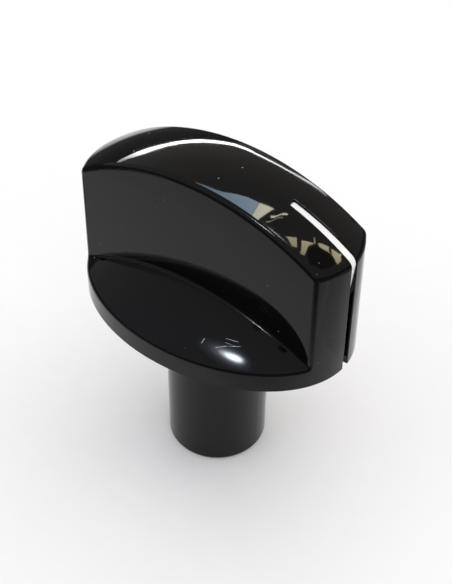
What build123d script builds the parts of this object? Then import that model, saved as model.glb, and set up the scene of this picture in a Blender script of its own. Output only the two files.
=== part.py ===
from build123d import *

import os
from math import radians, sqrt, tan

# A push-on stove knob. One gloss moulding is the oval base with its domed shoulders, the upright grip blade across
# it and the long round stem underneath, hollow from below. A white pointer strip is pushed into a slot in the blade
# from inside. A bowed leaf spring lies behind the flat of the D-shaped spindle socket.
# Millimetres, +Z up, origin at the centre of the stem's end, pointer towards +X.

# Oval base and grip blade
GRIP_LENGTH = 42.0  # oval base, long way
GRIP_WIDTH = 29.0  # oval base, short way
GRIP_HEIGHT = 24.8  # rim's lower edge to the crown of the blade
RIM_HEIGHT = 2.95  # upright edge of the oval base
DOME_RISE = 5.95  # domed shoulders above the rim, at the knob's axis
BLADE_THICKNESS = 12.0  # across the two faces, level with the rim's lower edge
WALL_DRAFT = 1.2  # degrees, on the oval wall
FACE_DRAFT = 0.25  # degrees, on each blade face
CROWN_LONG_RADIUS = 34.7  # blade's top, seen from the side
CROWN_CROSS_RADIUS = 24.0  # blade's top, seen from the end
SKIN = 2.4  # wall of the hollow moulding

# Rounded edges
EDGE_RADIUS = 0.8  # upright corners of the blade, long edges of its top and top of the rim
END_EDGE_RADIUS = 1.2  # over the blade's two ends
ROOT_RADIUS = 0.35  # where the shoulders meet the blade's faces
STEM_EDGE_RADIUS = 0.7  # round the stem's end

# Stem, spindle socket and the gussets that brace the stem
STEM_LENGTH = 26.1  # stem's end to the rim's lower edge
STEM_DIAMETER = 15.1
SOCKET_DIAMETER = 8.1
SOCKET_DEPTH = 26.0  # from the stem's end
SOCKET_FLAT_CUT = 1.45  # how far the flat of the D cuts into the round
LEAD_IN_LENGTH = 6.0  # round mouth of the socket
LEAD_IN_STEP = 0.35  # how much wider than the socket, on the radius
LEAD_IN_CHAMFER = 0.6
GUSSET_THICKNESS = 1.6
GUSSET_SETBACK = 0.8  # gusset's lower edge above the rim's lower edge

# Pointer strip
POINTER_LENGTH = 10.0  # slot's inner end to the oval's end
SLOT_WIDTH = 1.1
SLOT_END_RADIUS = 0.3  # corners of the slot's inner end, seen from above
SLOT_EDGE_RADIUS = 0.15  # along the slot's edges on the outside
POINTER_RECESS = 0.35  # pointer below the blade's top, at the slot's inner end
POINTER_NOSE_RECESS = 0.12  # pointer below the blade's surface where it turns down
POINTER_FIT = 0.05  # clearance round the pointer
POINTER_PAD_THICKNESS = 1.4  # flange under the blade's top
POINTER_CORNER_RADIUS = 1.4  # where the pointer turns down the blade's end
POINTER_NOSE_DROP = 6.0  # foot of the nose below its corner
POINTER_NOSE_SETBACK = 0.5  # foot of the nose behind its corner

# Spring clip
CLIP_LENGTH = 14.2
CLIP_WIDTH = 3.6
CLIP_THICKNESS = 0.4
CLIP_BOW = 1.1  # rise of the bow
CLIP_REACH = 0.25  # middle of the bow, proud of the flat
CLIP_FIT = 0.1  # clearance at the clip's ends and edges
CLIP_SEAT = 0.05  # clearance behind the clip's ends

# Places worked out from the sizes
HALF_LENGTH = GRIP_LENGTH / 2
HALF_WIDTH = GRIP_WIDTH / 2
STEM_RADIUS = STEM_DIAMETER / 2
SOCKET_RADIUS = SOCKET_DIAMETER / 2
LEAD_IN_RADIUS = SOCKET_RADIUS + LEAD_IN_STEP
FLAT_X = SOCKET_FLAT_CUT - SOCKET_RADIUS
RIM_Z = STEM_LENGTH
CROWN_Z = RIM_Z + GRIP_HEIGHT
CROWN_AXIS_Z = CROWN_Z - CROWN_LONG_RADIUS
DOME_Z = RIM_Z + RIM_HEIGHT + DOME_RISE
BLADE_END_HEIGHT = GRIP_HEIGHT - CROWN_LONG_RADIUS + sqrt(CROWN_LONG_RADIUS**2 - HALF_LENGTH**2)
BLADE_END_X = HALF_LENGTH - BLADE_END_HEIGHT * tan(radians(WALL_DRAFT))
SLOT_START = HALF_LENGTH - POINTER_LENGTH
CLIP_BACK_X = FLAT_X + CLIP_REACH - CLIP_THICKNESS - CLIP_BOW
PAST = SKIN  # cutting shapes run this far past what they cut
UPWARD = (Align.CENTER, Align.CENTER, Align.MIN)
OUTWARD = (Align.MIN, Align.CENTER, Align.MIN)


def arc_radius(half_chord, rise):
    """Radius of an arc from half its chord and its rise."""
    return (half_chord**2 + rise**2) / (2 * rise)


def oval_block(inset=0.0):
    """The tapered oval that bounds the base and the blade, from the rim's lower edge to past the crown."""
    height = GRIP_HEIGHT + PAST
    taper = height * tan(radians(WALL_DRAFT))
    foot = Plane.XY.offset(RIM_Z) * Ellipse(HALF_LENGTH - inset, HALF_WIDTH - inset)
    head = Plane.XY.offset(RIM_Z + height) * Ellipse(HALF_LENGTH - inset - taper, HALF_WIDTH - inset - taper)
    return loft([foot, head], ruled=True)


def blade_slab(inset=0.0):
    """The blade's two drafted faces, as a slab that runs past its ends, its top and the rim's lower edge."""
    slope = tan(radians(FACE_DRAFT))
    low = RIM_Z - PAST
    high = CROWN_Z + PAST
    foot = BLADE_THICKNESS / 2 - inset + PAST * slope
    head = foot - (high - low) * slope
    corners = [(-foot, low), (foot, low), (head, high), (-head, high)]
    return extrude(Plane.YZ * make_face(Polyline(*corners, close=True)), HALF_LENGTH + PAST, both=True)


def barrel(top, long_radius, cross_radius, reach):
    """Upper half of a barrel lying along Y: one arc seen from the side, another seen from the end."""
    side = long_radius - cross_radius + sqrt(cross_radius**2 - reach**2)
    bulge = ThreePointArc((-reach, side), (0, long_radius), (reach, side))
    stave = Polyline((reach, side), (reach, 0), (-reach, 0), (-reach, side))
    lying = Plane(origin=(0, 0, top - long_radius), x_dir=(0, 1, 0), z_dir=(0, 0, 1))
    return revolve(lying * make_face([bulge, *stave.edges()]), Axis(lying.origin, (0, 1, 0)), 180)


def crown(inset=0.0):
    """Everything under the blade's crowned top."""
    reach = BLADE_THICKNESS / 2 + PAST - inset
    return barrel(CROWN_Z - inset, CROWN_LONG_RADIUS - inset, CROWN_CROSS_RADIUS - inset, reach)


def crown_height(x):
    """Height of the blade's top along its middle, at a distance from the knob's axis."""
    return CROWN_AXIS_Z + sqrt(CROWN_LONG_RADIUS**2 - x**2)


def dome(inset=0.0):
    """Everything under the domed shoulders, which come down to the rim's height all round the oval."""
    long_radius = arc_radius(HALF_LENGTH, DOME_RISE) - inset
    cross_radius = arc_radius(HALF_WIDTH, DOME_RISE) - inset
    return barrel(DOME_Z - inset, long_radius, cross_radius, HALF_WIDTH + PAST - inset)


def is_root(edge):
    """True for the edges where the shoulders meet the blade's faces."""
    middle = edge @ 0.5
    return RIM_Z < middle.Z < DOME_Z and 0 < abs(middle.Y) < HALF_WIDTH and abs(middle.X) < STEM_RADIUS


def is_end_edge(edge):
    """True for the edges over the blade's two ends, between its top and the oval wall."""
    ends = [edge @ 0, edge @ 0.5, edge @ 1]
    on_end = min(abs(point.X) for point in ends) > HALF_LENGTH / 2
    across = abs(ends[2].Y - ends[0].Y) > abs(ends[2].Z - ends[0].Z)
    return on_end and across and ends[1].Z > DOME_Z


def is_outer_edge(edge):
    """True for the blade's upright corners, the edges of its faces along the top, and the top of the rim."""
    ends = [edge @ 0, edge @ 0.5, edge @ 1]
    off_centre = min(abs(point.Y) for point in ends) > BLADE_THICKNESS / 4
    upright = abs(ends[2].Z - ends[0].Z) > abs(ends[2].X - ends[0].X)
    on_rim = abs(ends[1].Y) > BLADE_THICKNESS
    along_top = ends[1].Z > DOME_Z
    return off_centre and ends[1].Z > RIM_Z and (upright or on_rim or along_top)


def outer_grip():
    """The blade on its base: sharp forms first, then the roots, the blade's ends and last the edges round its faces."""
    sharp = (blade_slab() & crown()) + dome()
    grip = oval_block() & fillet(sharp.edges().filter_by(is_root), ROOT_RADIUS)
    grip = fillet(grip.edges().filter_by(is_end_edge), END_EDGE_RADIUS)
    return fillet(grip.edges().filter_by(is_outer_edge), EDGE_RADIUS)


def grip_hollow():
    """The space inside the moulding: the same forms a wall's thickness further in, less the stem and gussets."""
    hollow = (oval_block(SKIN) & blade_slab(SKIN) & crown(SKIN)) + (oval_block(SKIN) & dome(SKIN))
    stem_top = Pos(0, 0, RIM_Z) * Cylinder(STEM_RADIUS, GRIP_HEIGHT, align=UPWARD)
    gussets = Pos(0, 0, RIM_Z + GUSSET_SETBACK) * Box(GUSSET_THICKNESS, GRIP_WIDTH, GRIP_HEIGHT, align=UPWARD)
    return hollow - stem_top - gussets


def stem():
    """The round stem below the rim, rounded at its end."""
    post = Cylinder(STEM_RADIUS, STEM_LENGTH, align=UPWARD)
    return fillet(post.edges().group_by(Axis.Z)[0], STEM_EDGE_RADIUS)


def spindle_socket():
    """The D-shaped hole for the spindle, with its round mouth and the spring's slot behind the flat."""
    mouth = Cone(LEAD_IN_RADIUS + LEAD_IN_CHAMFER, LEAD_IN_RADIUS, LEAD_IN_CHAMFER, align=UPWARD)
    lead_in = Cylinder(LEAD_IN_RADIUS, LEAD_IN_LENGTH, align=UPWARD)
    round_side = Pos(FLAT_X, 0) * Rectangle(SOCKET_DIAMETER, SOCKET_DIAMETER, align=(Align.MIN, Align.CENTER))
    section = Circle(SOCKET_RADIUS) & round_side
    d_hole = extrude(Plane.XY.offset(LEAD_IN_LENGTH) * section, SOCKET_DEPTH - LEAD_IN_LENGTH)
    slot_depth = FLAT_X - CLIP_BACK_X + CLIP_SEAT
    slot_size = (slot_depth, CLIP_WIDTH + 2 * CLIP_FIT, CLIP_LENGTH + 2 * CLIP_FIT)
    clip_slot = Pos(FLAT_X - slot_depth, 0, LEAD_IN_LENGTH) * Box(*slot_size, align=OUTWARD)
    return mouth + lead_in + d_hole + clip_slot


def pointer_slot(inset=0.0):
    """The slot through the blade's top and on down its end, open at the rim, with a rounded inner end."""
    plan = RectangleRounded(
        POINTER_LENGTH + PAST, SLOT_WIDTH - 2 * inset, SLOT_END_RADIUS - inset, align=(Align.MIN, Align.CENTER)
    )
    return Pos(SLOT_START + inset, 0, RIM_Z - PAST) * extrude(plan, GRIP_HEIGHT + 2 * PAST)


def is_slot_mouth(edge):
    """True for the slot's edges on the outside of the grip, above the rim's lower edge."""
    middle = edge @ 0.5
    inside = abs(middle.Y) < SLOT_WIDTH and middle.X > SLOT_START - SLOT_WIDTH
    lowest = min((edge @ 0).Z, (edge @ 1).Z)
    rises = middle.X < SLOT_START + SLOT_END_RADIUS and lowest < CROWN_Z - GRIP_HEIGHT / 2
    return inside and middle.Z > RIM_Z and not rises


def knob_body():
    """The black moulding."""
    slotted = outer_grip() - pointer_slot()
    slotted = fillet(slotted.edges().filter_by(is_slot_mouth), SLOT_EDGE_RADIUS)
    return slotted - grip_hollow() + stem() - spindle_socket()


def pointer_insert():
    """The white pointer: a rib that fills the slot, turning down the blade's end, on a pad under the blade's top."""
    pad_top = SKIN + POINTER_FIT
    pad_foot = pad_top + POINTER_PAD_THICKNESS
    pad_start = STEM_RADIUS + POINTER_FIT
    pad = (crown(pad_top) - crown(pad_foot)) & blade_slab(pad_top) & oval_block(pad_top)
    pad = pad & Pos(pad_start, 0, RIM_Z) * Box(GRIP_LENGTH, GRIP_WIDTH, GRIP_HEIGHT, align=OUTWARD)

    rib_start = SLOT_START + POINTER_FIT
    nose_x = BLADE_END_X - POINTER_NOSE_RECESS
    nose_z = crown_height(nose_x) - POINTER_NOSE_RECESS
    start = (rib_start, crown_height(rib_start) - POINTER_RECESS)
    heel = (rib_start, crown_height(rib_start) - pad_foot)
    foot = (nose_x - POINTER_NOSE_SETBACK, nose_z - POINTER_NOSE_DROP)
    top = RadiusArc(start, (nose_x, nose_z), CROWN_LONG_RADIUS)
    side = make_face([*top.edges(), *Polyline((nose_x, nose_z), foot, heel, start).edges()])
    side = fillet(side.vertices().sort_by_distance((nose_x, nose_z))[0], POINTER_CORNER_RADIUS)
    rib = extrude(Plane.XZ * side, SLOT_WIDTH, both=True) & pointer_slot(POINTER_FIT)
    return pad + rib


def spring_clip():
    """The bowed leaf spring: its ends lie on the floor of the slot and its middle stands proud of the flat."""
    low = LEAD_IN_LENGTH + CLIP_FIT
    middle = low + CLIP_LENGTH / 2
    high = low + CLIP_LENGTH
    front_x = CLIP_BACK_X + CLIP_THICKNESS
    back = ThreePointArc((CLIP_BACK_X, low), (CLIP_BACK_X + CLIP_BOW, middle), (CLIP_BACK_X, high))
    front = ThreePointArc((front_x, high), (front_x + CLIP_BOW, middle), (front_x, low))
    ends = [Line((CLIP_BACK_X, high), (front_x, high)), Line((front_x, low), (CLIP_BACK_X, low))]
    return extrude(Plane.XZ * make_face([back, front, *ends]), CLIP_WIDTH / 2, both=True)


os.makedirs("parts", exist_ok=True)
pieces = {"knob_body": knob_body(), "pointer_insert": pointer_insert(), "spring_clip": spring_clip()}
for name, piece in pieces.items():
    export_step(piece, f"parts/{name}.step")
    print(f"{name}: {piece.volume / 1000:.2f} cm3")
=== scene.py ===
# %% [markdown]
# # A stove knob in gloss black
# A push-on stove knob is one black moulding, with a white pointer strip let into its top and a leaf
# spring inside its stem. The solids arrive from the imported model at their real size, so this lesson makes
# no new outline for them. It sets up a camera, a small studio and the three finishes, and it shows why a
# black mirror needs more care with its surroundings than with its own colour.

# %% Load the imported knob
from math import cos, pi, radians, sin

import bpy
from mathutils import Matrix, Vector

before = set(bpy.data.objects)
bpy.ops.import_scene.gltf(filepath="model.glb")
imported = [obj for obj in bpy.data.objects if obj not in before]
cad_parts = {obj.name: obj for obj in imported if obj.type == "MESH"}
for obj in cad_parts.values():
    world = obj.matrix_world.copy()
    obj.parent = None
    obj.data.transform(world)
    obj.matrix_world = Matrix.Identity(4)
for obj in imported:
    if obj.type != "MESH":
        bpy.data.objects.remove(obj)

scene = bpy.context.scene
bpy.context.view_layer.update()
print("pieces:", sorted(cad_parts))

# %% [markdown]
# ## The camera
# The photograph looks down on the knob from the front right, from close by, so the near end of the grip
# looks larger than the far end. A camera could be turned by hand until the picture looks right. Here the
# bearing, the height and the distance were worked out from the knob's outline, and the camera's three
# axes are built from them. The lens follows from how many pixels long it is in a picture of 584 pixels'
# height.

# %% Camera at the photograph's place
RIM_Z = 0.0261  # height of the rim's lower edge, which the camera aims at
CAMERA_BEARING = 144.61
CAMERA_ELEVATION = 42.35
CAMERA_ROLL = 0.81
CAMERA_DISTANCE = 0.14549
CAMERA_RIGHT = 0.00111  # the picture's centre, to the right of the aim
CAMERA_UP = 0.00146  # and above it
PICTURE_HEIGHT = 584
LENS_PIXELS = 1022.0
SENSOR = 36.0


def direction(bearing, elevation):
    """Unit vector towards a bearing, in degrees from behind the knob towards its pointer, and a height."""
    bearing, elevation = radians(bearing), radians(elevation)
    return Vector((sin(bearing) * cos(elevation), cos(bearing) * cos(elevation), sin(elevation)))


def add_camera():
    back = direction(CAMERA_BEARING, CAMERA_ELEVATION)
    level = Vector((0, 0, 1)).cross(back).normalized()
    rise = back.cross(level)
    roll = radians(CAMERA_ROLL)
    right = cos(roll) * level + sin(roll) * rise
    up = cos(roll) * rise - sin(roll) * level
    place = Vector((0, 0, RIM_Z)) + back * CAMERA_DISTANCE + right * CAMERA_RIGHT + up * CAMERA_UP
    data = bpy.data.cameras.new("camera")
    data.sensor_width = SENSOR
    data.lens = LENS_PIXELS * SENSOR / PICTURE_HEIGHT
    data.clip_start = 0.01
    camera = bpy.data.objects.new("camera", data)
    scene.collection.objects.link(camera)
    camera.matrix_world = Matrix.Translation(place) @ Matrix((right, up, back)).transposed().to_4x4()
    scene.camera = camera
    return camera


camera = add_camera()
scene.view_settings.view_transform = "Standard"
print("camera at", [round(1000 * x) for x in camera.location], "mm, lens", round(camera.data.lens, 1), "mm")

# %% [markdown]
# ## A short hand for nodes
# Every material below is a graph of nodes. Writing each node in five lines hides what the graph does, so
# one helper adds a node, sets its options and fills its sockets. A value that is itself a socket becomes
# a link.

# %% Helper for node graphs
def add(tree, kind, values, **options):
    """Adds a node, with its options and its inputs by name or number, and gives it back."""
    made = tree.nodes.new(kind)
    for name, value in options.items():
        setattr(made, name, value)
    for key, value in values.items():
        if isinstance(value, bpy.types.NodeSocket):
            tree.links.new(value, made.inputs[key])
        else:
            made.inputs[key].default_value = value
    return made


def maths(tree, operation, *values):
    """A Math node's result."""
    return add(tree, "ShaderNodeMath", dict(enumerate(values)), operation=operation).outputs[0]


def blend_colours(tree, share, first, second):
    """A Mix node's colour: first where share is 0, second where it is 1."""
    return add(tree, "ShaderNodeMix", {0: share, 6: first, 7: second}, data_type="RGBA").outputs[2]


def remap(tree, value, low, high, to_low, to_high):
    """A smooth Map Range node's result."""
    numbers = {0: value, 1: low, 2: high, 3: to_low, 4: to_high}
    return add(tree, "ShaderNodeMapRange", numbers, interpolation_type="SMOOTHSTEP").outputs[0]


def new_material(name):
    material = bpy.data.materials.new(name)
    material.use_nodes = True
    material.node_tree.nodes.clear()
    return material, material.node_tree


# %% [markdown]
# ## The floor
# The knob stands on plain white card. One big plane is enough, with the faint mottle of paper in its
# colour. Seen from below the plane is clear, so that the knob's underside can be looked at too.

# %% Pale floor
FLOOR_HALF = 2.5
CARD_WHITE = (0.95, 0.95, 0.95, 1)
CARD_SHADE = (0.93, 0.93, 0.93, 1)
MOTTLE_SCALE = 400.0  # cells to the metre


def add_floor():
    corners = [(-FLOOR_HALF, -FLOOR_HALF, 0), (FLOOR_HALF, -FLOOR_HALF, 0),
               (FLOOR_HALF, FLOOR_HALF, 0), (-FLOOR_HALF, FLOOR_HALF, 0)]
    mesh = bpy.data.meshes.new("floor")
    mesh.from_pydata(corners, [], [(0, 1, 2, 3)])
    floor = bpy.data.objects.new("floor", mesh)
    scene.collection.objects.link(floor)
    material, tree = new_material("pale_card")
    place = add(tree, "ShaderNodeTexCoord", {}).outputs["Object"]
    mottle = add(tree, "ShaderNodeTexNoise", {"Vector": place, "Scale": MOTTLE_SCALE}).outputs[0]
    colour = blend_colours(tree, mottle, CARD_WHITE, CARD_SHADE)
    above = add(tree, "ShaderNodeBsdfDiffuse", {"Color": colour}).outputs[0]
    below = add(tree, "ShaderNodeBsdfTransparent", {}).outputs[0]
    from_below = add(tree, "ShaderNodeNewGeometry", {}).outputs["Backfacing"]
    surface = add(tree, "ShaderNodeMixShader", {0: from_below, 1: above, 2: below}).outputs[0]
    add(tree, "ShaderNodeOutputMaterial", {"Surface": surface})
    mesh.materials.append(material)
    return floor


floor = add_floor()
print("floor:", 2 * FLOOR_HALF, "m across")

# %% [markdown]
# ## The room
# Black gloss hardly shows the light that falls on it. What the eye reads as its shape are the reflections
# of the room. So the world is a plain grey room, cooler and a little brighter in front of the knob than
# behind it, and the lamps that light the white card are kept out of the mirror. The windows that the
# gloss does show come after that, one by one.

# %% Grey room
ROOM_FRONT = (0.53, 0.53, 0.57, 1)
ROOM_BEHIND = (0.46, 0.43, 0.40, 1)
ROOM_CHANGE = 0.4  # one tone runs into the other over this share of the way, in front and behind


def add_room():
    world = bpy.data.worlds.new("room")
    world.use_nodes = True
    tree = world.node_tree
    tree.nodes.clear()
    ray = add(tree, "ShaderNodeTexCoord", {}).outputs["Generated"]
    along = add(tree, "ShaderNodeSeparateXYZ", {0: ray}).outputs
    behind = remap(tree, along["Y"], -ROOM_CHANGE, ROOM_CHANGE, 0, 1)
    tone = blend_colours(tree, behind, ROOM_FRONT, ROOM_BEHIND)
    light = add(tree, "ShaderNodeBackground", {"Color": tone, "Strength": 1.0}).outputs[0]
    add(tree, "ShaderNodeOutputWorld", {"Surface": light})
    scene.world = world
    return world


print("world:", add_room().name)

# %% Soft light for the card and the pointer
GRIP_CENTRE = Vector((0, 0, 0.042))  # what the lamps face
SOFTBOX_DISTANCE = 0.8
SOFTBOX_SIZE = 0.9
TOP_POWER = 2.0
TOP_BEARING = 30
TOP_ELEVATION = 82
SIDE_POWER = 1.75
SIDE_BEARINGS = (45, 135, 225, 315)
SIDE_ELEVATION = 30


def add_softbox(name, bearing, elevation, power):
    """A large square light that faces the grip and that the gloss doesn't mirror."""
    data = bpy.data.lights.new(name, "AREA")
    data.size = SOFTBOX_SIZE
    data.energy = power
    softbox = bpy.data.objects.new(name, data)
    scene.collection.objects.link(softbox)
    towards = direction(bearing, elevation)
    turn = towards.to_track_quat("Z", "Y").to_matrix().to_4x4()
    softbox.matrix_world = Matrix.Translation(GRIP_CENTRE + towards * SOFTBOX_DISTANCE) @ turn
    softbox.visible_camera = False
    softbox.visible_glossy = False


add_softbox("softbox_top", TOP_BEARING, TOP_ELEVATION, TOP_POWER)
for number, bearing in enumerate(SIDE_BEARINGS):
    add_softbox(f"softbox_side_{number}", bearing, SIDE_ELEVATION, SIDE_POWER)
print("softboxes: one above and four round the knob")

# %% [markdown]
# ## Cards for the gloss to mirror
# A photographer gives a black glossy thing its shape with bright cards just outside the picture. Here
# each card is a thin sheet that glows. It is laid out by bearings and heights, because that is how a
# reflection is read off a photograph: a place in the picture and the slope of the surface there give the
# direction that it mirrors. Every point of a sheet carries its own brightness, so one card can fade along
# its length. The cards light nothing themselves and the camera doesn't see them.

# %% Sheets that only a mirror sees
CARD_DISTANCE = 1.8


def glowing_material():
    material, tree = new_material("card_glow")
    glow = add(tree, "ShaderNodeAttribute", {}, attribute_name="glow").outputs["Color"]
    light = add(tree, "ShaderNodeEmission", {"Color": glow, "Strength": 1.0}).outputs[0]
    add(tree, "ShaderNodeOutputMaterial", {"Surface": light})
    return material


def add_sheet(name, colour, points, faces):
    """A glowing mesh for mirrors alone. Each point is a place and a brightness."""
    mesh = bpy.data.meshes.new(name)
    mesh.from_pydata([place for place, glow in points], [], faces)
    glows = mesh.color_attributes.new("glow", "FLOAT_COLOR", "POINT")
    for value, (place, glow) in zip(glows.data, points):
        value.color = (*(glow * channel for channel in colour), 1)
    mesh.materials.append(card_glow)
    sheet = bpy.data.objects.new(name, mesh)
    scene.collection.objects.link(sheet)
    sheet.visible_camera = False
    sheet.visible_diffuse = False
    sheet.visible_shadow = False
    return sheet


def far_place(bearing, height):
    """The place at a card's distance from the grip, at a bearing and a height in degrees."""
    return GRIP_CENTRE + direction(bearing, height) * CARD_DISTANCE


def ladder_faces(steps):
    """Faces between pairs of points, step by step."""
    return [(2 * k, 2 * k + 1, 2 * k + 3, 2 * k + 2) for k in range(steps - 1)]


def ring_faces(rings, sides):
    """Faces between rings of points, ring by ring."""
    faces = []
    for ring in range(rings - 1):
        for side in range(sides):
            first = ring * sides + side
            second = ring * sides + (side + 1) % sides
            faces.append((first, second, second + sides, first + sides))
    return faces


def add_card(name, colour, steps):
    """A card in steps. Each step is two ends, as bearing and height in degrees, and a brightness."""
    points = []
    for end, other_end, glow in steps:
        points.append((far_place(*end), glow))
        points.append((far_place(*other_end), glow))
    return add_sheet(name, colour, points, ladder_faces(len(steps)))


card_glow = glowing_material()
print("cards glow with", card_glow.name)

# %% [markdown]
# ## The window behind
# The long bright streak over the crown is a window low behind the knob. It is broad at the left and only
# a line along the rear edge, so the card is a band whose lower and upper edge are given bearing by
# bearing.

# %% Window behind the knob
WINDOW = (1.0, 1.0, 1.0)
FAR_WINDOW = (  # bearing, lower edge, upper edge, brightness
    (-65.0, 13.2, 15.3, 3), (-60.3, 14.3, 19.0, 12), (-57.5, 14.8, 19.4, 24), (-51.5, 15.8, 19.2, 25),
    (-45.3, 15.2, 18.6, 26), (-39.8, 14.8, 18.4, 26), (-34.5, 15.4, 18.6, 26), (-30.4, 16.2, 19.0, 26),
    (-26.0, 18.8, 21.2, 24), (-24.0, 20.8, 22.6, 20), (-19.3, 22.8, 24.4, 18), (-13.0, 23.9, 25.3, 18),
    (-6.8, 23.1, 24.5, 16), (-2.0, 21.7, 23.1, 12), (1.5, 21.2, 22.4, 6),
)
far_window = add_card(
    "far_window", WINDOW, [((bearing, low), (bearing, high), glow) for bearing, low, high, glow in FAR_WINDOW]
)
print("far window:", len(far_window.data.polygons), "faces")

# %% [markdown]
# ## The roof window and the warm things beside it
# The front edge of the crown mirrors a patch of blue sky high up behind, the cream reveal of its window,
# two streaks beside it and a group of warm brown things round something dark. Each is a card of its own
# with a colour of its own.

# %% Roof window
SKY = (0.62, 0.80, 1.0)
CREAM = (1.0, 0.97, 0.78)
add_card("roof_window", SKY, [
    ((-55.5, 53.5), (-57, 58), 8), ((-50.8, 57.5), (-52, 65), 8), ((-45.3, 61.1), (-46, 69), 9),
    ((-40.0, 63.0), (-40, 71), 10), ((-28.4, 63.0), (-28, 73), 11), ((-17.6, 62.8), (-15, 73), 12),
    ((-7.2, 62.6), (-2.7, 73), 13),
])
add_card("roof_reveal", CREAM, [((-6.8, 62.6), (-2.2, 73), 20), ((4.0, 60.1), (7.6, 73), 23)])
add_card("streak_wide", CREAM, [((8.5, 65.7), (10.8, 66.5), 20), ((12.3, 55.9), (13.6, 56.5), 24)])
add_card("streak_thin", CREAM, [((13.2, 70.5), (14.7, 70.7), 10), ((14.8, 59.9), (15.8, 60.4), 8)])
print("roof window, its reveal and two streaks")

# %% Warm things
WARM = (1.0, 0.86, 0.55)
add_card("warm_1", WARM, [((36.5, 59.9), (38.3, 65.4), 15), ((48.6, 61.3), (47.6, 63.4), 13)])
add_card("warm_2", WARM, [
    ((37.6, 51.5), (38.6, 57.9), 16), ((41.7, 55.0), (42.0, 58.3), 15), ((46.9, 56.6), (46.0, 58.8), 14),
    ((54.2, 58.2), (52.9, 59.8), 12),
])
add_card("warm_3", WARM, [
    ((35.6, 43.8), (36.3, 49.3), 16), ((38.5, 44.2), (39.4, 49.2), 15), ((41.7, 44.2), (40.6, 46.0), 13),
])
add_card("warm_4", WARM, [
    ((36.8, 37.5), (37.2, 42.3), 16), ((42.2, 38.8), (41.5, 43.3), 15), ((46.5, 41.2), (44.5, 42.3), 13),
])
add_card("warm_line", WARM, [((32.1, 50.3), (31.8, 49.7), 8), ((37.8, 51.7), (37.4, 51.1), 14)])
SHADE = 0.15  # brightness of the dark thing among the warm ones
add_card("dark_thing", WARM, [
    ((40.3, 45.8), (39.6, 50.5), SHADE), ((42.5, 43.2), (42.4, 54.6), SHADE),
    ((46.3, 42.0), (46.9, 56.3), SHADE), ((52.3, 45.0), (55.0, 56.3), SHADE),
    ((58.5, 50.0), (59.4, 55.1), SHADE),
])
print("warm things: five, round a dark one")

# %% [markdown]
# ## The lamp and the tube
# The spot on the dome is a lamp in front of the knob and high up. Its glow dies away outwards, so it is
# drawn as rings of points, and the outer rings lie a little to the left, where the haze on the dome
# reaches further. The thin line along the crown's front edge is a long tube under the ceiling, seen in an
# edge of less than a millimetre's radius, which makes any lamp a line. A spot beside it gives the glint
# at the foot of the blade.

# %% Front lamp and ceiling tube
LAMP = (0.80, 0.88, 1.0)
LAMP_BEARING = 170.4
LAMP_ELEVATION = 61.1
LAMP_LEAN = -0.11  # rise of the lamp's long axis for each degree of bearing
LAMP_RINGS = (  # half width and half height in degrees, drift to the left, brightness
    (6.5, 1.5, 0.0, 75), (10.0, 2.4, 0.4, 24), (13.5, 3.6, 1.5, 5),
    (19.0, 5.6, 4.0, 1.5), (27.0, 9.0, 7.0, 0.58),
)
LAMP_SIDES = 24
TUBE_ENDS = ((-0.13, 16), (0.25, 32), (0.61, 24))  # places along the blade and brightness
TUBE_BEHIND = 0.265
TUBE_HALF_WIDTH = 0.045
TUBE_HEIGHT = 1.0


def add_lamp():
    points = []
    for half_width, half_height, drift, glow in LAMP_RINGS:
        for side in range(LAMP_SIDES):
            angle = 2 * pi * side / LAMP_SIDES
            aside = drift + half_width * cos(angle)
            rise = half_height * sin(angle) + LAMP_LEAN * aside
            points.append((far_place(LAMP_BEARING + aside, LAMP_ELEVATION + rise), glow))
    faces = [tuple(range(LAMP_SIDES))] + ring_faces(len(LAMP_RINGS), LAMP_SIDES)
    return add_sheet("front_lamp", LAMP, points, faces)


def add_tube():
    points = []
    for along, glow in TUBE_ENDS:
        for half in (-TUBE_HALF_WIDTH, TUBE_HALF_WIDTH):
            points.append((GRIP_CENTRE + Vector((along, TUBE_BEHIND + half, TUBE_HEIGHT)), glow))
    return add_sheet("ceiling_tube", WINDOW, points, ladder_faces(len(TUBE_ENDS)))


lamp = add_lamp()
tube = add_tube()
add_card("ceiling_spot", WINDOW, [((30, 76.5), (30, 79.5), 30), ((42, 76), (42, 79), 30)])
print("lamp:", len(lamp.data.polygons), "faces; tube:", len(tube.data.polygons), "faces; a spot beside it")

# %% [markdown]
# ## Flags
# The opposite of a bright card is a flag: something dark that stops a mirror from showing too much white.
# Black gloss needs one most of all where it is seen at a glancing angle, at the far side of the grip's
# top and on its rounded corners. The flags below are a dark table round the white card with a low wall
# round it, a strip at the pointer's side and a strip in front of the picture's lower edge. Like the cards
# they are there for the gloss alone.

# %% Dark surroundings for the gloss
FLAG = (1.0, 1.0, 1.0)
FLAG_CENTRE = Vector((-0.045, 0.064, 0.0))
FLAG_RINGS = (  # distance from the centre, height, brightness
    (0.117, 0.0005, 0.95), (0.14, 0.0005, 0.75), (0.18, 0.0005, 0.22), (0.207, 0.0005, 0.10),
    (2.1, 0.0005, 0.09), (2.1, 0.58, 0.09),
)
FLAG_SIDES = 48
AWAY = -direction(CAMERA_BEARING, 0)  # along the floor, away from the camera
ASIDE = Vector((AWAY.y, -AWAY.x, 0))  # along the floor, to the picture's right
FRONT_STRIP = (  # distance along AWAY, brightness
    (-0.036, 0.95), (-0.049, 0.5), (-0.062, 0.14), (-0.30, 0.13),
)
SIDE_STRIP = (  # distance along ASIDE, brightness
    (0.046, 0.85), (0.068, 0.6), (0.090, 0.28), (0.25, 0.17),
)
STRIP_HALF = 0.3
STRIP_HEIGHT = 0.001


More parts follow.
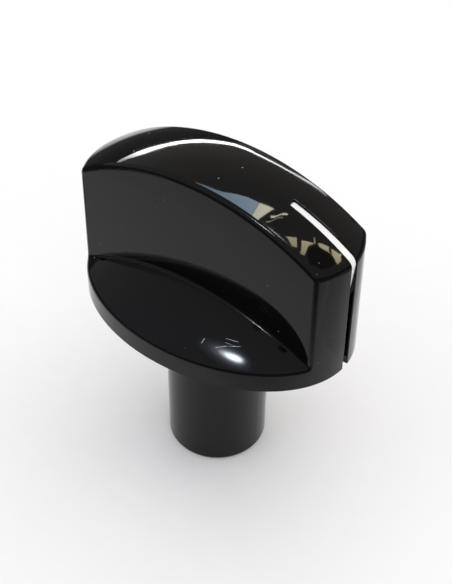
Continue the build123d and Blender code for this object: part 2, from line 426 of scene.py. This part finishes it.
def add_flag_ring():
    points = []
    for radius, height, glow in FLAG_RINGS:
        for side in range(FLAG_SIDES):
            angle = 2 * pi * side / FLAG_SIDES
            points.append((FLAG_CENTRE + Vector((radius * cos(angle), radius * sin(angle), height)), glow))
    return add_sheet("flag_ring", FLAG, points, ring_faces(len(FLAG_RINGS), FLAG_SIDES))


def add_strip(name, across, along, steps, height):
    """A flat strip just above the floor, fading step by step in one direction."""
    points = []
    for distance, glow in steps:
        for half in (-STRIP_HALF, STRIP_HALF):
            points.append((across * distance + along * half + Vector((0, 0, height)), glow))
    return add_sheet(name, FLAG, points, ladder_faces(len(steps)))


add_flag_ring()
add_strip("flag_side", ASIDE, AWAY, SIDE_STRIP, STRIP_HEIGHT)
add_strip("flag_front", AWAY, ASIDE, FRONT_STRIP, 2 * STRIP_HEIGHT)
print("flags: a ring, a side strip and a front strip")

# %% [markdown]
# ## Marks of handling
# A polished black surface shows every speck of dust and every hairline. Both are scattered marks: a few
# of the cells of a Voronoi texture hold one small spot each. Stretched coordinates make the spots
# hairlines. The group below is built once and each finish uses it with its own scale and share.

# %% Node group for scattered marks
def scattered_marks_group():
    group = bpy.data.node_groups.new("scattered_marks", "ShaderNodeTree")
    face = group.interface
    face.new_socket("Vector", in_out="INPUT", socket_type="NodeSocketVector")
    for name, value in (("Radius", 0.05), ("Share", 0.3)):
        face.new_socket(name, in_out="INPUT", socket_type="NodeSocketFloat").default_value = value
    face.new_socket("Mask", in_out="OUTPUT", socket_type="NodeSocketFloat")
    given = group.nodes.new("NodeGroupInput").outputs
    cells = add(group, "ShaderNodeTexVoronoi", {"Vector": given["Vector"], "Scale": 1.0}, feature="F1")
    pick = add(group, "ShaderNodeSeparateColor", {0: cells.outputs["Color"]}).outputs
    chosen = maths(group, "LESS_THAN", pick[0], given["Share"])
    size = maths(group, "MULTIPLY", given["Radius"], maths(group, "ADD", pick[1], 0.4))
    spot = maths(group, "SUBTRACT", 1.0, maths(group, "DIVIDE", cells.outputs["Distance"], size))
    spot = add(group, "ShaderNodeClamp", {0: maths(group, "MULTIPLY", spot, 2.0)}).outputs[0]
    mask = maths(group, "MULTIPLY", spot, chosen)
    add(group, "NodeGroupOutput", {"Mask": mask})
    return group


def marks(tree, group, place, scale, turn, radius, share):
    """The mask of one use of the group, on coordinates scaled and turned for it."""
    moved = add(tree, "ShaderNodeMapping", {"Vector": place, "Rotation": turn, "Scale": scale})
    made = add(tree, "ShaderNodeGroup", {}, node_tree=group)
    tree.links.new(moved.outputs[0], made.inputs["Vector"])
    made.inputs["Radius"].default_value = radius
    made.inputs["Share"].default_value = share
    return made.outputs["Mask"]


scattered_marks = scattered_marks_group()
print("group:", scattered_marks.name)

# %% [markdown]
# ## Scratches
# The worn place beside the lamp's reflection has a few scratches, which a hairline's relief alone wouldn't
# show. Their pale colour is partly the scuffed plastic and partly a painted glint: the lamp's light that
# the scratches catch, put into their colour. A scratch is everything that lies within a small distance of
# a straight line between two points. The group below measures that distance: it finds how far along the
# line the nearest point is, keeps that between the two ends, and takes the gap.

# %% Node group for one scratch
def vector_maths(tree, operation, first, second):
    """A Vector Math node's outputs, Vector and Value."""
    return add(tree, "ShaderNodeVectorMath", {0: first, 1: second}, operation=operation).outputs


def scratch_group():
    group = bpy.data.node_groups.new("scratch", "ShaderNodeTree")
    face = group.interface
    for name in ("Vector", "Start", "Run"):
        face.new_socket(name, in_out="INPUT", socket_type="NodeSocketVector")
    face.new_socket("Width", in_out="INPUT", socket_type="NodeSocketFloat")
    face.new_socket("Mask", in_out="OUTPUT", socket_type="NodeSocketFloat")
    given = group.nodes.new("NodeGroupInput").outputs
    run = given["Run"]
    away = vector_maths(group, "SUBTRACT", given["Vector"], given["Start"])["Vector"]
    reach = vector_maths(group, "DOT_PRODUCT", away, run)["Value"]
    whole = vector_maths(group, "DOT_PRODUCT", run, run)["Value"]
    share = add(group, "ShaderNodeClamp", {0: maths(group, "DIVIDE", reach, whole)}).outputs[0]
    nearest = add(group, "ShaderNodeVectorMath", {0: run, "Scale": share}, operation="SCALE").outputs[0]
    gap = vector_maths(group, "DISTANCE", away, nearest)["Value"]
    mask = remap(group, gap, 0.0, given["Width"], 1.0, 0.0)
    add(group, "NodeGroupOutput", {"Mask": mask})
    return group


scratch = scratch_group()
print("group:", scratch.name)

# %% [markdown]
# ## Black moulding
# The body is moulded in black plastic from a polished tool. It is nearly a mirror, and the light that it
# sends back comes from its surface and not from its colour. A flat black with low roughness would look
# like a computer's idea of plastic, so the finish has a slight ripple from the moulding, a haze where
# fingers have wiped it, hairlines, a worn place with a fine grain and a few scratches, and specks of dust
# on the faces that look up. The scratches' pale colour holds a painted glint of the lamp as well as the
# scuffed plastic.

# %% Black gloss finish
DUST = (0.22, 0.22, 0.215, 1)
BLACK = (0.0025, 0.0025, 0.0028, 1)
# pale scratch colour: the scuffed plastic, with the lamp's glint in the scratches painted into it
SCRATCH_AND_GLINT = (0.55, 0.56, 0.58, 1)
SCRATCHES = (  # start, end and half width in mm
    ((5.87, -11.71, 30.87), (5.92, -11.13, 31.26), 0.07),
    ((7.80, -11.26, 30.82), (8.98, -10.37, 31.10), 0.07),
    ((9.22, -10.26, 31.10), (10.55, -9.46, 31.20), 0.05),
    ((8.53, -10.18, 31.32), (10.25, -9.70, 31.14), 0.04),
    ((8.37, -9.75, 31.61), (9.92, -9.24, 31.49), 0.05),
)
MM = 0.001
RIPPLE_SCALE = 260.0  # waves to the metre
RIPPLE_HEIGHT = 0.0000008
GRAIN_SCALE = 7000.0
GRAIN_HEIGHT = 0.0000003
HAIRLINE_CELLS = (160, 1400, 1400)  # to the metre, so each hairline is long one way
HAIRLINE_DEPTH = 0.000001
DUST_CELLS = (500, 500, 500)
WIPE_SCALE = (60, 260, 160)
WIPE_TURN = (0.4, 0.2, 0.7)
CLEAN_ROUGHNESS = 0.035
WIPED_ROUGHNESS = 0.075
MARK_ROUGHNESS = 0.6
WORN_CENTRE = (0.009, -0.0103, 0.0312)
WORN_INNER = 0.002
WORN_OUTER = 0.009
SURFACE_SHINE = 0.22  # 0.5 is plain plastic, and the faces in the photograph mirror less


def scratch_and_glint_mask(tree, place, grain):
    """All the scratches together, broken up by the grain: where the scuffs and their painted glint lie."""
    mask = 0.0
    for first, last, width in SCRATCHES:
        start = Vector(first) * MM
        made = add(tree, "ShaderNodeGroup", {}, node_tree=scratch)
        tree.links.new(place, made.inputs["Vector"])
        made.inputs["Start"].default_value = start
        made.inputs["Run"].default_value = Vector(last) * MM - start
        made.inputs["Width"].default_value = width * MM
        mask = maths(tree, "MAXIMUM", mask, made.outputs["Mask"])
    return maths(tree, "MULTIPLY", mask, remap(tree, grain, 0.35, 0.6, 0.3, 1.0))


def black_gloss():
    material, tree = new_material("black_gloss")
    place = add(tree, "ShaderNodeTexCoord", {}).outputs["Object"]
    normal = add(tree, "ShaderNodeNewGeometry", {}).outputs["Normal"]
    facing_up = add(tree, "ShaderNodeSeparateXYZ", {0: normal}).outputs["Z"]
    catches_dust = remap(tree, facing_up, -0.1, 0.9, 0.25, 1.0)
    ripples = {"Vector": place, "Scale": RIPPLE_SCALE, "Detail": 2.0}
    ripple = add(tree, "ShaderNodeTexNoise", ripples).outputs[0]
    grains = {"Vector": place, "Scale": GRAIN_SCALE, "Detail": 1.0}
    grain = add(tree, "ShaderNodeTexNoise", grains).outputs[0]

    dust = marks(tree, scattered_marks, place, DUST_CELLS, (0.3, 0.2, 0.5), 0.06, 0.6)
    dust = maths(tree, "MULTIPLY", dust, catches_dust)
    hairlines = marks(tree, scattered_marks, place, HAIRLINE_CELLS, (0.2, 0.1, 0.35), 0.16, 0.2)
    scratches_and_glint = scratch_and_glint_mask(tree, place, grain)
    from_worn = vector_maths(tree, "DISTANCE", place, WORN_CENTRE)["Value"]

    wiping = {"Vector": place, "Rotation": WIPE_TURN, "Scale": WIPE_SCALE}
    wiped = add(tree, "ShaderNodeMapping", wiping).outputs[0]
    smear = add(tree, "ShaderNodeTexNoise", {"Vector": wiped, "Scale": 1.0, "Detail": 4.0}).outputs[0]
    haze = remap(tree, smear, 0.35, 0.75, CLEAN_ROUGHNESS, WIPED_ROUGHNESS)
    worn = maths(tree, "MULTIPLY", maths(tree, "MAXIMUM", dust, scratches_and_glint), MARK_ROUGHNESS)
    roughness = maths(tree, "MAXIMUM", haze, worn)

    relief = maths(tree, "MULTIPLY", ripple, RIPPLE_HEIGHT)
    grain_height = remap(tree, from_worn, WORN_INNER, WORN_OUTER, GRAIN_HEIGHT, 0.0)
    relief = maths(tree, "ADD", relief, maths(tree, "MULTIPLY", grain, grain_height))
    relief = maths(tree, "SUBTRACT", relief, maths(tree, "MULTIPLY", hairlines, HAIRLINE_DEPTH))
    bump = add(tree, "ShaderNodeBump", {"Strength": 1.0, "Distance": 1.0, "Height": relief}).outputs[0]

    colour = blend_colours(tree, dust, BLACK, DUST)
    # the scratches are painted pale, partly their scuffed plastic and partly a painted glint of the lamp
    colour = blend_colours(tree, scratches_and_glint, colour, SCRATCH_AND_GLINT)
    looks = {"Base Color": colour, "Roughness": roughness, "Normal": bump}
    finish = add(tree, "ShaderNodeBsdfPrincipled", looks)
    finish.inputs["IOR"].default_value = 1.5
    finish.inputs["Specular IOR Level"].default_value = SURFACE_SHINE
    add(tree, "ShaderNodeOutputMaterial", {"Surface": finish.outputs[0]})
    return material


# %% [markdown]
# ## White pointer
# The pointer is a strip of white plastic, less polished than the body. Its colour is a little uneven, as
# thin white mouldings are where the black behind shows through, and it carries the same specks of dust.

# %% White pointer finish
WHITE = (0.90, 0.90, 0.895, 1)
WHITE_THIN = (0.83, 0.83, 0.825, 1)
GRIME = (0.40, 0.39, 0.37, 1)


def white_matt():
    material, tree = new_material("pointer_white")
    place = add(tree, "ShaderNodeTexCoord", {}).outputs["Object"]
    cloud = add(tree, "ShaderNodeTexNoise", {"Vector": place, "Scale": 900.0, "Detail": 3.0}).outputs[0]
    tone = blend_colours(tree, remap(tree, cloud, 0.35, 0.7, 0, 1), WHITE, WHITE_THIN)
    specks = marks(tree, scattered_marks, place, (900, 900, 900), (0.1, 0.4, 0.2), 0.06, 0.12)
    colour = blend_colours(tree, specks, tone, GRIME)
    roughness = remap(tree, cloud, 0.3, 0.7, 0.32, 0.45)
    finish = add(tree, "ShaderNodeBsdfPrincipled", {"Base Color": colour, "Roughness": roughness})
    finish.inputs["IOR"].default_value = 1.5
    add(tree, "ShaderNodeOutputMaterial", {"Surface": finish.outputs[0]})
    return material


# %% [markdown]
# ## Spring steel
# The leaf spring is cut from bright rolled strip. Rolling leaves fine lines along its length, which
# stretch the highlights across it. A noise that is long one way and short the other gives the lines, in
# the roughness and in a shallow bump.

# %% Rolled steel finish
STEEL = (0.56, 0.55, 0.53, 1)
STEEL_DARK = (0.40, 0.39, 0.37, 1)
ROLLING_DEPTH = 0.000003


def rolled_steel():
    material, tree = new_material("spring_steel")
    place = add(tree, "ShaderNodeTexCoord", {}).outputs["Object"]
    stretched = add(tree, "ShaderNodeMapping", {"Vector": place, "Scale": (9000, 9000, 180)}).outputs[0]
    lines = add(tree, "ShaderNodeTexNoise", {"Vector": stretched, "Scale": 1.0, "Detail": 3.0}).outputs[0]
    stains = marks(tree, scattered_marks, place, (700, 700, 700), (0.5, 0.1, 0.3), 0.18, 0.2)
    tone = blend_colours(tree, remap(tree, lines, 0.3, 0.7, 0, 1), STEEL, STEEL_DARK)
    colour = blend_colours(tree, stains, tone, STEEL_DARK)
    roughness = remap(tree, lines, 0.3, 0.7, 0.22, 0.38)
    relief = maths(tree, "MULTIPLY", lines, ROLLING_DEPTH)
    bump = add(tree, "ShaderNodeBump", {"Strength": 1.0, "Distance": 1.0, "Height": relief}).outputs[0]
    looks = {"Base Color": colour, "Roughness": roughness, "Normal": bump}
    finish = add(tree, "ShaderNodeBsdfPrincipled", looks)
    finish.inputs["Metallic"].default_value = 1.0
    add(tree, "ShaderNodeOutputMaterial", {"Surface": finish.outputs[0]})
    return material


# %% Give each piece its finish
FINISHES = {"knob_body": black_gloss(), "pointer_insert": white_matt(), "spring_clip": rolled_steel()}
for name, material in FINISHES.items():
    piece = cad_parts[name]
    for slot in piece.material_slots:
        slot.material = material
    print(name, "takes", material.name, "on", len(piece.data.polygons), "triangles")
